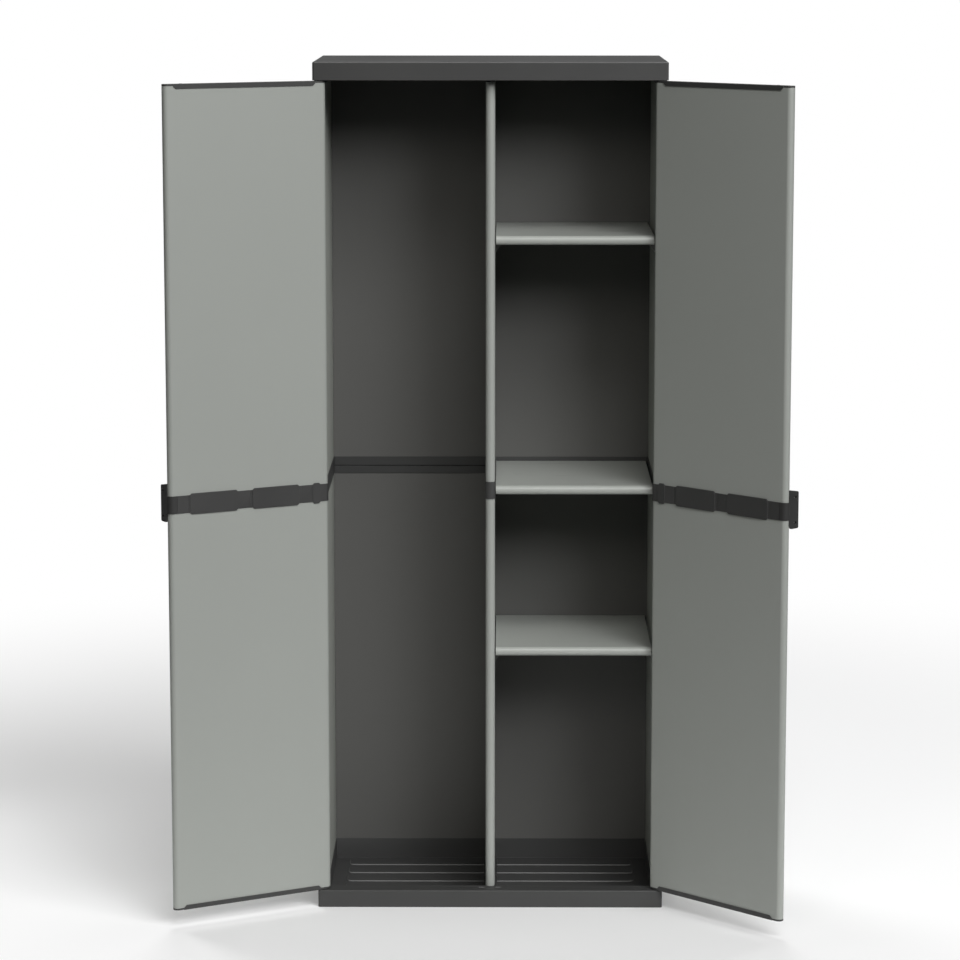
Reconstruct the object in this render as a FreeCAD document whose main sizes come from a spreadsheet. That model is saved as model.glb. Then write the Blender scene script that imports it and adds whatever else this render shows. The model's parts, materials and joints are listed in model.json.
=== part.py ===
import FreeCAD, Part
import math
import os
import Sketcher

# Garden storage cabinet: a moulded base tray and a moulded cap joined by hollow extruded boards,
# H-section joints at mid height, a divider, three shelves and two doors on corner pins.
# Millimetres. X is the width, Y the depth (front is -Y), Z is up from the ground.
# The doors are drawn closed in their own hinge frame, then turned open about the pins.

doc = FreeCAD.newDocument("GardenStorageCabinet")
sheet = doc.addObject("Spreadsheet::Sheet", "Sizes")


# A length with its value and the expression that drives it.
class Size:
    def __init__(self, text, value):
        self.text = text
        self.value = value

    def __add__(self, other):
        other = asSize(other)
        return Size("(%s + %s)" % (self.text, other.text), self.value + other.value)

    def __sub__(self, other):
        other = asSize(other)
        return Size("(%s - %s)" % (self.text, other.text), self.value - other.value)

    def __mul__(self, other):
        other = asSize(other)
        return Size("(%s * %s)" % (self.text, other.text), self.value * other.value)

    def __truediv__(self, other):
        other = asSize(other)
        return Size("(%s / %s)" % (self.text, other.text), self.value / other.value)

    def __neg__(self):
        return Size("(-1 * %s)" % self.text, -self.value)


def asSize(number):
    if isinstance(number, Size):
        return number
    return Size("(%r)" % number, float(number))


def driving(row, alias, value):
    sheet.set("A%d" % row, alias)
    sheet.set("B%d" % row, str(value))
    sheet.setAlias("B%d" % row, alias)
    return Size("Sizes.%s" % alias, float(value))


# Driving dimensions
sizes = {
    "cabinetWidth": 680,
    "baseDepth": 382,
    "rimHeight": 34.5,
    "capHeight": 35,
    "capSetback": 4,
    "boardLength": 794,
    "boardThick": 17,
    "boardSkin": 1.3,
    "boardWeb": 1.0,
    "rearInset": 2.5,
    "sideSetback": 28,
    "dividerThick": 18,
    "dividerSetback": 31,
    "jointHeight": 34,
    "jointWeb": 4,
    "flangeThick": 1.3,
    "slideFit": 0.15,
    "wallThick": 2.5,
    "ribThick": 2,
    "floorThick": 2.8,
    "sillDepth": 37,
    "lipRise": 9.5,
    "tongueLength": 25,
    "tongueFit": 0.3,
    "cornerRadius": 4,
    "edgeChamfer": 1.5,
    "padRise": 2.2,
    "padDepth": 44,
    "padPitch": 62,
    "firstPadFront": 109,
    "padHalfLength": 291.3,
    "padRailGap": 4,
    "recessDepth": 2,
    "recessWide": 11,
    "recessLong": 5,
    "recessSetback": 20,
    "dividerDrop": 4,
    "shelfThick": 17.5,
    "shelfSetback": 34,
    "shelfSideGap": 5.2,
    "shelfGap": 0.3,
    "topShelfHeight": 1309.5,
    "bottomShelfHeight": 500,
    "bracketArm": 12,
    "bracketLeg": 17,
    "bracketWide": 9,
    "bracketInset": 45,
    "tabHeight": 6,
    "tabLength": 6,
    "tabSetback": 1.5,
    "tabFit": 0.15,
    "ledgeWide": 30,
    "ledgeHeight": 8,
    "ledgeLip": 2,
    "doorThick": 18,
    "doorSetback": 1,
    "doorGap": 1.2,
    "doorMeetHalf": 2,
    "hingeInset": 12,
    "pinRadius": 4,
    "pinFit": 0.08,
    "pinDepth": 10,
    "pinSeat": 0.2,
    "bossWall": 3.4,
    "endLip": 3.6,
    "endFlangeHeight": 9,
    "endFlangeStart": 12,
    "endFlangeStop": 18,
    "nubInset": 38,
    "nubRadius": 3.2,
    "nubRise": 0.7,
    "clipLength": 15,
    "clipGap": 0.3,
    "padProud": 1,
    "bandPadHeight": 40,
    "padChamfer": 3.5,
    "bumpStart": 7.5,
    "bumpLength": 17,
    "hingePadStart": 53,
    "hingePadLength": 100,
    "freePadStart": 184,
    "freePadLength": 100.5,
    "seamWide": 1,
    "seamDeep": 0.6,
    "hingeSeam": 47.5,
    "middleSeam": 157,
    "freeSeam": 287.5,
    "grooveHigh": 2.4,
    "grooveDrop": 1.6,
    "haspHeight": 70.5,
    "haspRise": 4.3,
    "haspProud": 20,
    "haspThick": 5,
    "haspLift": 0.75,
    "haspHole": 3,
    "haspHoleInset": 11,
    "haspHoleSetback": 8.5,
    "haspRoot": 2,
    "haspTopCut": 2,
    "haspLowCut": 7.5,
    "leftDoorOpen": 150.6,
    "rightDoorOpen": 135.4,
    "overcut": 1,
}
dim = {}
for row, (alias, value) in enumerate(sizes.items(), start=1):
    dim[alias] = driving(row, alias, value)
doc.recompute()

# Counts of what repeats
sideCells = 9
backCells = 16
doorCells = 8
shelfCells = 8
frontRibCells = 8
sideRibCells = 4
railRibCells = 3
floorPads = 4

# How near two lengths are when they count as equal
tolerance = 1e-4

# Places worked out from the driving dimensions
zero = asSize(0)
halfWidth = dim["cabinetWidth"] / 2
baseFront = -(dim["baseDepth"] / 2)
baseBack = dim["baseDepth"] / 2
capFront = baseFront + dim["capSetback"]
rim = dim["rimHeight"]
webLow = rim + dim["boardLength"]
webHigh = webLow + dim["jointWeb"]
jointMiddle = webLow + dim["jointWeb"] / 2
jointLow = jointMiddle - dim["jointHeight"] / 2
jointHigh = jointMiddle + dim["jointHeight"] / 2
capBottom = webHigh + dim["boardLength"]
capTop = capBottom + dim["capHeight"]
ceiling = capTop - dim["wallThick"]
proud = dim["flangeThick"] + dim["slideFit"]
sideOuter = halfWidth - proud
sideInner = sideOuter - dim["boardThick"]
sideFront = baseFront + dim["sideSetback"]
backOuter = baseBack - dim["rearInset"]
backInner = backOuter - dim["boardThick"]
trayHalf = sideInner - proud
trayBack = backInner - proud
sillBack = baseFront + dim["sillDepth"]
railHalf = dim["dividerThick"] / 2
dividerFront = baseFront + dim["dividerSetback"]
dividerBack = trayBack - dim["shelfGap"]
shelfFront = baseFront + dim["shelfSetback"]
middleUnder = jointLow + dim["ledgeHeight"]
pivotX = halfWidth - dim["hingeInset"]
doorHalf = dim["doorThick"] / 2
pivotY = capFront + dim["doorSetback"] + doorHalf
socketRadius = dim["pinRadius"] + dim["pinFit"]
socketDepth = dim["pinDepth"] + dim["pinSeat"]
doorLow = rim + dim["doorGap"]
doorHigh = capBottom - dim["doorGap"]
doorHinge = -dim["hingeInset"]
doorFree = pivotX - dim["doorMeetHalf"]


# Sketches and features

def newBody(name):
    body = doc.addObject("PartDesign::Body", name)
    body.Label = name
    body.AllowCompound = True
    return body


def newSketch(body, name, plane, lift):
    sketch = body.newObject("Sketcher::SketchObject", name)
    for origin in body.Origin.OriginFeatures:
        if origin.Role == plane:
            sketch.AttachmentSupport = [(origin, "")]
    sketch.MapMode = "FlatFace"
    sketch.AttachmentOffset.Base = FreeCAD.Vector(0, 0, lift.value)
    sketch.setExpression("AttachmentOffset.Base.z", lift.text)
    return sketch


def vector(x, y):
    return FreeCAD.Vector(x.value, y.value, 0)


def joinInRing(sketch, first, count):
    # ties the end of each curve to the start of the next, round to the first again
    ties = []
    for index in range(count):
        following = first + (index + 1) % count
        ties.append(Sketcher.Constraint("Coincident", first + index, 2, following, 1))
    sketch.addConstraint(ties)


def hold(sketch, places):
    # ties points to their sizes: each place is a curve, its point, and x and y from the sketch's origin
    fixed = []
    bound = []
    for curve, point, x, y in places:
        for kind, axis, size in (("DistanceX", -2, x), ("DistanceY", -1, y)):
            if size is None:
                continue
            if size.text == zero.text:
                fixed.append(Sketcher.Constraint("PointOnObject", curve, point, axis))
            else:
                bound.append((Sketcher.Constraint(kind, -1, 1, curve, point, size.value), size))
    sketch.addConstraint(fixed)
    first = sketch.ConstraintCount
    sketch.addConstraint([constraint for constraint, size in bound])
    for index, (constraint, size) in enumerate(bound):
        sketch.setExpression("Constraints[%d]" % (first + index), size.text)


def polygon(sketch, points):
    first = sketch.GeometryCount
    count = len(points)
    lines = []
    for index in range(count):
        lines.append(Part.LineSegment(vector(*points[index]), vector(*points[(index + 1) % count])))
    sketch.addGeometry(lines)
    joinInRing(sketch, first, count)
    hold(sketch, [(first + index, 1, x, y) for index, (x, y) in enumerate(points)])


def rectangle(sketch, x1, y1, x2, y2):
    polygon(sketch, [(x1, y1), (x2, y1), (x2, y2), (x1, y2)])


def circle(sketch, x, y, radius):
    ring = Part.Circle(vector(x, y), FreeCAD.Vector(0, 0, 1), radius.value)
    curve = sketch.addGeometry(ring)
    hold(sketch, [(curve, 3, x, y)])
    index = sketch.addConstraint(Sketcher.Constraint("Radius", curve, radius.value))
    sketch.setExpression("Constraints[%d]" % index, radius.text)


def bar(sketch, low, high, middle, half, roundLow, roundHigh, upright=False):
    # a bar from low to high with a half-round nose at the ends asked for; upright bars run along Y
    start = low + half if roundLow else low
    stop = high - half if roundHigh else high
    near = middle + half if upright else middle - half
    far = middle - half if upright else middle + half
    corners = [(start, near), (stop, near), (stop, far), (start, far)]
    noses = {1: (stop, middle, roundHigh, 0), 3: (start, middle, roundLow, 180)}
    if upright:
        corners = [(across, along) for along, across in corners]
        noses = {1: (middle, stop, roundHigh, 90), 3: (middle, start, roundLow, 270)}
    first = sketch.GeometryCount
    held = []
    for index in range(4):
        here = corners[index]
        there = corners[(index + 1) % 4]
        if index in noses and noses[index][2]:
            x, y, nose, facing = noses[index]
            ring = Part.Circle(vector(x, y), FreeCAD.Vector(0, 0, 1), half.value)
            quarters = math.radians(facing - 90), math.radians(facing + 90)
            sketch.addGeometry(Part.ArcOfCircle(ring, *quarters))
            held.append((first + index, 3, None if upright else x, y if upright else None))
        else:
            sketch.addGeometry(Part.LineSegment(vector(*here), vector(*there)))
        if index not in noses:
            held.append((first + index, 1, *here))
            held.append((first + index, 2, *there))
    joinInRing(sketch, first, 4)
    hold(sketch, held)


def finish(body, feature, grows):
    before = feature.BaseFeature.Shape.Volume if feature.BaseFeature else 0
    feature.recompute(True)
    body.Tip = feature
    after = feature.Shape.Volume
    if grows and after <= before or not grows and after >= before:
        raise RuntimeError("%s %s does not change the solid as meant" % (body.Label, feature.Name))
    return feature


def pad(body, sketch, length, down=False):
    feature = body.newObject("PartDesign::Pad", "Pad")
    feature.Profile = sketch
    feature.Reversed = down
    feature.Length = length.value
    feature.setExpression("Length", length.text)
    return finish(body, feature, True)


def pocket(body, sketch, length, up=False):
    feature = body.newObject("PartDesign::Pocket", "Pocket")
    feature.Profile = sketch
    feature.Reversed = up
    feature.Length = length.value
    feature.setExpression("Length", length.text)
    return finish(body, feature, False)


def easeEdges(body, kind, wanted, property, size):
    # kind is Fillet or Chamfer, and property is what holds its size
    base = body.Tip
    names = ["Edge%d" % (n + 1) for n, edge in enumerate(base.Shape.Edges) if wanted(edge)]
    feature = body.newObject("PartDesign::" + kind, kind)
    feature.Base = (base, names)
    setattr(feature, property, size.value)
    feature.setExpression(property, size.text)
    return finish(body, feature, False)


def easeRim(body, top):
    # round corners, and a chamfer round the top
    easeEdges(body, "Fillet", isUpright, "Radius", dim["cornerRadius"])
    easeEdges(body, "Chamfer", lambda edge: isLevelAt(edge, top), "Size", dim["edgeChamfer"])


def isUpright(edge):
    return math.isclose(edge.BoundBox.ZLength, edge.Length, abs_tol=tolerance)


def isLevelAt(edge, height):
    return math.isclose(edge.BoundBox.ZMin, height.value, abs_tol=tolerance)


def evenCells(low, high, count, web):
    # splits the stretch from low to high into equal cells with a web between neighbours
    cell = (high - low - web * (count - 1)) / count
    starts = [low + (cell + web) * index for index in range(count)]
    return [(start, start + cell) for start in starts]


# Hollow board cells: the same layout gives the board's holes and the tongues that fill some of them

def sideBoardCells():
    low = sideFront + dim["boardThick"] / 2
    return evenCells(low, backOuter - dim["boardSkin"], sideCells, dim["boardWeb"])


def backBoardCells():
    half = sideInner - dim["slideFit"] - dim["boardSkin"]
    return evenCells(-half, half, backCells, dim["boardWeb"])


def dividerCells():
    low = dividerFront + railHalf
    return evenCells(low, dividerBack - dim["boardSkin"], sideCells, dim["boardWeb"])


def doorBoardCells():
    return evenCells(doorHinge + doorHalf, doorFree - doorHalf, doorCells, dim["boardWeb"])


sideTongues = [1, sideCells - 2]
backTongues = [2, backCells // 2 - 1, backCells - 3]
doorTongues = [1, doorCells - 2]


def cellRectangles(sketch, cells, low, high, chosen, fit, upright):
    for index in chosen:
        start = cells[index][0] + fit
        stop = cells[index][1] - fit
        if upright:
            rectangle(sketch, low + fit, start, high - fit, stop)
        else:
            rectangle(sketch, start, low + fit, stop, high - fit)


def carcassTongues(sketch):
    fit = dim["tongueFit"]
    skin = dim["boardSkin"]
    cells = sideBoardCells()
    cellRectangles(sketch, cells, sideInner + skin, sideOuter - skin, sideTongues, fit, True)
    cellRectangles(sketch, cells, -sideOuter + skin, -sideInner - skin, sideTongues, fit, True)
    cellRectangles(sketch, backBoardCells(), backInner + skin, backOuter - skin, backTongues, fit, False)
    cellRectangles(sketch, dividerCells(), skin - railHalf, railHalf - skin, sideTongues, fit, True)


# Base tray and top cap

def coreRibs(body, front, level, depth):
    # coring between the ribs under the rim, the same in the base and the cap
    wall = dim["wallThick"]
    rib = dim["ribThick"]
    outer = halfWidth - wall
    innerX = trayHalf + wall
    frontCells = evenCells(-outer, outer, frontRibCells, rib)
    sideCoring = evenCells(sillBack, trayBack, sideRibCells, rib)
    # a rib of the divider's rail lies across the middle of the cabinet
    railCoring = evenCells(sillBack, -rib / 2, railRibCells, rib)
    railCoring += evenCells(rib / 2, trayBack, railRibCells, rib)
    areas = {
        "FrontRibs": [(x1, front + wall, x2, sillBack - wall) for x1, x2 in frontCells],
        "RearRibs": [(x1, trayBack + wall, x2, baseBack - wall) for x1, x2 in frontCells],
        "RightRibs": [(innerX, y1, outer, y2) for y1, y2 in sideCoring],
        "LeftRibs": [(-outer, y1, -innerX, y2) for y1, y2 in sideCoring],
        "RailRibs": [(rib - railHalf, y1, railHalf - rib, y2) for y1, y2 in railCoring],
    }
    for name, cells in areas.items():
        sketch = newSketch(body, name, "XY_Plane", level)
        for cell in cells:
            rectangle(sketch, *cell)
        pocket(body, sketch, depth, up=True)


def bays(sketch):
    rectangle(sketch, -trayHalf, sillBack, -railHalf, trayBack)
    rectangle(sketch, railHalf, sillBack, trayHalf, trayBack)


def lipOutline(sketch):
    # the upstanding lip that hides the foot of the boards, open at the front
    fit = dim["slideFit"]
    outerX = sideInner - fit
    outerY = backInner - fit
    polygon(sketch, [(-outerX, sillBack), (-trayHalf, sillBack), (-trayHalf, trayBack),
                     (trayHalf, trayBack), (trayHalf, sillBack), (outerX, sillBack),
                     (outerX, outerY), (-outerX, outerY)])


def pinCircles(sketch, radius):
    circle(sketch, pivotX, pivotY, radius)
    circle(sketch, -pivotX, pivotY, radius)


def makeBase():
    body = newBody("base_tray")
    outline = newSketch(body, "BaseOutline", "XY_Plane", zero)
    rectangle(outline, -halfWidth, baseFront, halfWidth, baseBack)
    pad(body, outline, rim)
    easeRim(body, rim)

    tray = newSketch(body, "TrayBays", "XY_Plane", rim)
    bays(tray)
    pocket(body, tray, rim - dim["floorThick"])

    coreRibs(body, baseFront, zero, rim - dim["wallThick"])

    lip = newSketch(body, "Lip", "XY_Plane", rim - dim["wallThick"])
    lipOutline(lip)
    pad(body, lip, dim["lipRise"] + dim["wallThick"])

    # raised floor pads with rounded ends, one piece across both bays
    pads = newSketch(body, "FloorPads", "XY_Plane", dim["floorThick"])
    half = dim["padDepth"] / 2
    for index in range(floorPads):
        middle = dim["firstPadFront"] + half - dim["padPitch"] * index
        start = railHalf + dim["padRailGap"]
        bar(pads, -dim["padHalfLength"], -start, middle, half, True, False)
        bar(pads, start, dim["padHalfLength"], middle, half, False, True)
    pad(body, pads, dim["padRise"])

    bosses = newSketch(body, "SocketBosses", "XY_Plane", rim - socketDepth - dim["wallThick"])
    pinCircles(bosses, socketRadius + dim["bossWall"])
    pad(body, bosses, socketDepth + dim["wallThick"] / 2)
    sockets = newSketch(body, "Sockets", "XY_Plane", rim)
    pinCircles(sockets, socketRadius)
    pocket(body, sockets, socketDepth)

    # two shallow door catches in the sill, one each side of the divider's foot
    catches = newSketch(body, "Catches", "XY_Plane", rim)
    near = baseFront + dim["recessSetback"]
    far = near + dim["recessLong"]
    start = railHalf + dim["ledgeLip"]
    rectangle(catches, start, near, start + dim["recessWide"], far)
    rectangle(catches, -start - dim["recessWide"], near, -start, far)
    pocket(body, catches, dim["recessDepth"])

    tongues = newSketch(body, "Tongues", "XY_Plane", rim)
    carcassTongues(tongues)
    pad(body, tongues, dim["tongueLength"])
    return body


def makeCap():
    body = newBody("top_cap")
    outline = newSketch(body, "CapOutline", "XY_Plane", capBottom)
    rectangle(outline, -halfWidth, capFront, halfWidth, baseBack)
    pad(body, outline, dim["capHeight"])
    easeRim(body, capTop)

    hollow = newSketch(body, "CapBays", "XY_Plane", capBottom)
    bays(hollow)
    pocket(body, hollow, dim["capHeight"] - dim["wallThick"], up=True)

    rail = newSketch(body, "DividerRail", "XY_Plane", ceiling)
    rectangle(rail, -railHalf, dividerFront, railHalf, dividerBack)
    railDepth = dim["capHeight"] - dim["wallThick"] + dim["dividerDrop"]
    pad(body, rail, railDepth, down=True)

    coreRibs(body, capFront, capBottom - dim["dividerDrop"], railDepth)

    lip = newSketch(body, "Lip", "XY_Plane", ceiling)
    lipOutline(lip)
    pad(body, lip, dim["capHeight"] - dim["wallThick"] + dim["lipRise"], down=True)

    bosses = newSketch(body, "SocketBosses", "XY_Plane", ceiling)
    pinCircles(bosses, socketRadius + dim["bossWall"])
    pad(body, bosses, dim["capHeight"] - dim["wallThick"], down=True)
    sockets = newSketch(body, "Sockets", "XY_Plane", capBottom)
    pinCircles(sockets, socketRadius)
    pocket(body, sockets, socketDepth, up=True)

    tongues = newSketch(body, "Tongues", "XY_Plane", ceiling)
    carcassTongues(tongues)
    pad(body, tongues, dim["capHeight"] - dim["wallThick"] + dim["tongueLength"], down=True)
    return body


# Carcass boards

def makeSideBoard(name, side, low, shelfUnder=None):
    body = newBody(name)
    section = newSketch(body, "Section", "XY_Plane", low)
    middle = (sideInner + sideOuter) / 2 * side
    half = dim["boardThick"] / 2
    skin = dim["boardSkin"]
    bar(section, sideFront, backOuter, middle, half, True, False, upright=True)
    cellRectangles(section, sideBoardCells(), middle - half + skin, middle + half - skin,
                   range(sideCells), zero, True)
    pad(body, section, dim["boardLength"])
    if shelfUnder is not None:
        tabSlots(body, sideInner, shelfUnder, True)
    return body


def makeBackBoard(name, low):
    body = newBody(name)
    section = newSketch(body, "Section", "XY_Plane", low)
    half = sideInner - dim["slideFit"]
    skin = dim["boardSkin"]
    rectangle(section, -half, backInner, half, backOuter)
    cellRectangles(section, backBoardCells(), backInner + skin, backOuter - skin,
                   range(backCells), zero, False)
    pad(body, section, dim["boardLength"])
    return body


def makeDivider(name, low, length, shelfUnder):
    body = newBody(name)
    section = newSketch(body, "Section", "XY_Plane", low)
    skin = dim["boardSkin"]
    bar(section, dividerFront, dividerBack, zero, railHalf, True, False, upright=True)
    cellRectangles(section, dividerCells(), skin - railHalf, railHalf - skin,
                   range(sideCells), zero, True)
    pad(body, section, length)
    tabSlots(body, railHalf, shelfUnder, False)
    return body


def bracketPlaces():
    # middles of the two brackets along the shelf's depth
    return [shelfFront + dim["bracketInset"], dividerBack - dim["bracketInset"]]


def tabRectangles(sketch, under, fit):
    # the tabs of the two brackets under a shelf, seen along X; the slots add a fit all round
    for middle in bracketPlaces():
        half = dim["bracketWide"] / 2 - dim["tabSetback"] + fit
        low = under - dim["bracketLeg"] + dim["tabSetback"]
        rectangle(sketch, middle - half, low - fit, middle + half, low + dim["tabHeight"] + fit)


def tabSlots(body, face, under, outward):
    # slots for the shelf bracket tabs, from the face that looks into the right bay
    slots = newSketch(body, "TabSlots", "YZ_Plane", face)
    tabRectangles(slots, under, dim["tabFit"])
    pocket(body, slots, dim["tabLength"] + dim["tabFit"], up=outward)


# Mid-height joints of the carcass

def makeSideJoint(name, side, ledges=False):
    body = newBody(name)
    middle = (sideInner + sideOuter) / 2 * side
    half = dim["boardThick"] / 2
    fit = dim["slideFit"]
    start = sideFront + half
    web = newSketch(body, "Web", "XY_Plane", webLow)
    bar(web, sideFront, backOuter, middle, half, True, False, upright=True)
    pad(body, web, dim["jointWeb"])
    wide = newSketch(body, "WideWeb", "XY_Plane", webLow)
    rectangle(wide, middle - half - proud, start, middle + half + proud, dividerBack)
    pad(body, wide, dim["jointWeb"])
    flanges = newSketch(body, "Flanges", "XY_Plane", jointLow)
    rectangle(flanges, middle - half - proud, start, middle - half - fit, dividerBack)
    rectangle(flanges, middle + half + fit, start, middle + half + proud, dividerBack)
    pad(body, flanges, dim["jointHeight"])
    if ledges:
        makeLedges(body, trayHalf, -1)
    return body


def makeLedges(body, face, facing):
    # sloped ledges that carry the middle shelf, seen along Y, on the face that looks into the right bay
    root = face - dim["flangeThick"] / 2 * facing
    tip = face + dim["bracketArm"] * facing
    for index, middle in enumerate(bracketPlaces()):
        sketch = newSketch(body, "Ledge%d" % index, "XZ_Plane", -middle - dim["ledgeWide"] / 2)
        polygon(sketch, [(root, jointLow), (face, jointLow), (tip, middleUnder - dim["ledgeLip"]),
                         (tip, middleUnder), (root, middleUnder)])
        pad(body, sketch, dim["ledgeWide"])


def makeBackJoint():
    body = newBody("back_joint")
    fit = dim["slideFit"]
    innerHalf = trayHalf - dim["shelfGap"]
    outerHalf = sideInner - fit
    web = newSketch(body, "Web", "XY_Plane", webLow)
    rectangle(web, -outerHalf, backInner, outerHalf, backOuter)
    pad(body, web, dim["jointWeb"])
    wide = newSketch(body, "WideWeb", "XY_Plane", webLow)
    rectangle(wide, -innerHalf, trayBack, innerHalf, backOuter + proud)
    pad(body, wide, dim["jointWeb"])
    flanges = newSketch(body, "Flanges", "XY_Plane", jointLow)
    rectangle(flanges, -innerHalf, trayBack, innerHalf, backInner - fit)
    rectangle(flanges, -innerHalf, backOuter + fit, innerHalf, backOuter + proud)
    pad(body, flanges, dim["jointHeight"])
    groove = newSketch(body, "Groove", "XZ_Plane", -trayBack)
    high = jointMiddle - dim["grooveDrop"] + dim["grooveHigh"] / 2
    rectangle(groove, -innerHalf, high - dim["grooveHigh"], innerHalf, high)
    pocket(body, groove, dim["seamDeep"])
    return body


def cutSlots(body, draw):
    # the upper and lower slots of an H section, with the web left between them
    upper = newSketch(body, "UpperSlot", "XY_Plane", webHigh)
    draw(upper)
    pocket(body, upper, jointHigh - webHigh, up=True)
    lower = newSketch(body, "LowerSlot", "XY_Plane", webLow)
    draw(lower)
    pocket(body, lower, webLow - jointLow)


def makeDividerJoint():
    body = newBody("divider_joint")
    fit = dim["slideFit"]
    outer = newSketch(body, "Outer", "XY_Plane", jointLow)
    bar(outer, dividerFront - proud, dividerBack, zero, railHalf + proud, True, False, upright=True)
    pad(body, outer, dim["jointHeight"])
    cutSlots(body, lambda sketch: bar(sketch, dividerFront - fit, dividerBack + dim["overcut"], zero,
                                      railHalf + fit, True, False, upright=True))
    makeLedges(body, railHalf + proud, 1)
    return body


# Shelves and their brackets

def makeShelf(name, under):
    body = newBody(name)
    left = railHalf + proud + dim["shelfGap"]
    right = sideInner - dim["shelfSideGap"]
    section = newSketch(body, "Section", "YZ_Plane", left)
    half = dim["shelfThick"] / 2
    skin = dim["boardSkin"]
    bar(section, shelfFront, dividerBack, under + half, half, True, False)
    cells = evenCells(shelfFront + half, dividerBack - skin, shelfCells, dim["boardWeb"])
    cellRectangles(section, cells, under + skin, under + dim["shelfThick"] - skin,
                   range(shelfCells), zero, False)
    pad(body, section, right - left)
    return body


def makeBrackets(name, under):
    # four angle brackets: two on the divider and two on the right side board
    body = newBody(name)
    arm = dim["bracketArm"]
    leg = dim["bracketLeg"]
    tip = dim["ledgeLip"]
    for index, middle in enumerate(bracketPlaces()):
        sketch = newSketch(body, "Arms%d" % index, "XZ_Plane", -middle - dim["bracketWide"] / 2)
        for face, facing in ((railHalf, 1), (sideInner, -1)):
            polygon(sketch, [(face, under), (face, under - leg), (face + tip * facing, under - leg),
                             (face + arm * facing, under - tip), (face + arm * facing, under)])
        pad(body, sketch, dim["bracketWide"])
    for face, outward in ((railHalf, True), (sideInner, False)):
        tabs = newSketch(body, "Tabs", "YZ_Plane", face)
        tabRectangles(tabs, under, zero)
        pad(body, tabs, dim["tabLength"], down=outward)
    return body


# Doors, drawn closed with the pin at the origin; k is 1 for the left door and -1 for the right

def doorBar(sketch, k, start, stop, half, roundStart, roundStop):
    if k > 0:
        bar(sketch, start, stop, zero, half, roundStart, roundStop)
    else:
        bar(sketch, -stop, -start, zero, half, roundStop, roundStart)


def hangDoor(body, k):
    body.Placement.Rotation = FreeCAD.Rotation(FreeCAD.Vector(0, 0, 1), 1)
    body.setExpression("Placement.Base.x", (-pivotX * k).text)
    body.setExpression("Placement.Base.y", pivotY.text)
    angle = -dim["leftDoorOpen"] if k > 0 else dim["rightDoorOpen"]
    body.setExpression("Placement.Rotation.Angle", angle.text)
    doc.recompute()
    return body


def makeDoorBoard(name, k, low, high):
    body = newBody(name)
    section = newSketch(body, "Section", "XY_Plane", low)
    doorBar(section, k, doorHinge, doorFree, doorHalf, True, True)
    skin = dim["boardSkin"]
    cells = doorBoardCells()
    if k < 0:
        cells = [(-stop, -start) for start, stop in reversed(cells)]
    cellRectangles(section, cells, skin - doorHalf, doorHalf - skin, range(doorCells), zero, False)
    pad(body, section, high - low)
    return hangDoor(body, k)


def makeDoorEnd(name, k, upper):
    # end cap: a lip over the board's end, flanges down both faces, tongues and the hinge pin
    body = newBody(name)
    up = -1 if upper else 1
    end = doorHigh if upper else doorLow
    fit = dim["slideFit"]
    seat = end + dim["endLip"] * up
    edge = end + dim["endFlangeHeight"] * up
    lip = newSketch(body, "Lip", "XY_Plane", end)
    doorBar(lip, k, doorHinge, doorFree, doorHalf, True, True)
    pad(body, lip, dim["endLip"], down=upper)

    start = dim["endFlangeStart"]
    stop = doorFree - dim["endFlangeStop"]
    cut = dim["endFlangeHeight"] - dim["endLip"]
    outline = [(start * k, end), (stop * k, end), (stop * k, seat),
               ((stop - cut) * k, edge), ((start + cut) * k, edge), (start * k, seat)]
    for face, inward in ((1, True), (-1, False)):
        plate = newSketch(body, "Flange", "XZ_Plane", -(doorHalf + fit) * face)
        polygon(plate, outline)
        pad(body, plate, dim["flangeThick"], down=inward)
        root = newSketch(body, "FlangeRoot", "XZ_Plane", -(doorHalf - dim["boardSkin"]) * face)
        rectangle(root, start * k, end, stop * k, seat)
        pad(body, root, dim["boardSkin"] + fit * 2, down=inward)

    tongues = newSketch(body, "Tongues", "XY_Plane", seat)
    cells = doorBoardCells()
    if k < 0:
        cells = [(-far, -near) for near, far in reversed(cells)]
    skin = dim["boardSkin"]
    cellRectangles(tongues, cells, skin - doorHalf, doorHalf - skin, doorTongues, dim["tongueFit"], False)
    pad(body, tongues, dim["tongueLength"], down=upper)

    pin = newSketch(body, "Pin", "XY_Plane", end)
    circle(pin, zero, zero, dim["pinRadius"])
    pad(body, pin, dim["doorGap"] + dim["pinDepth"], down=not upper)
    if upper:
        nub = newSketch(body, "Nub", "XY_Plane", end)
        circle(nub, (doorFree - dim["nubInset"]) * k, zero, dim["nubRadius"])
        pad(body, nub, dim["nubRise"])
    return hangDoor(body, k)


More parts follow.
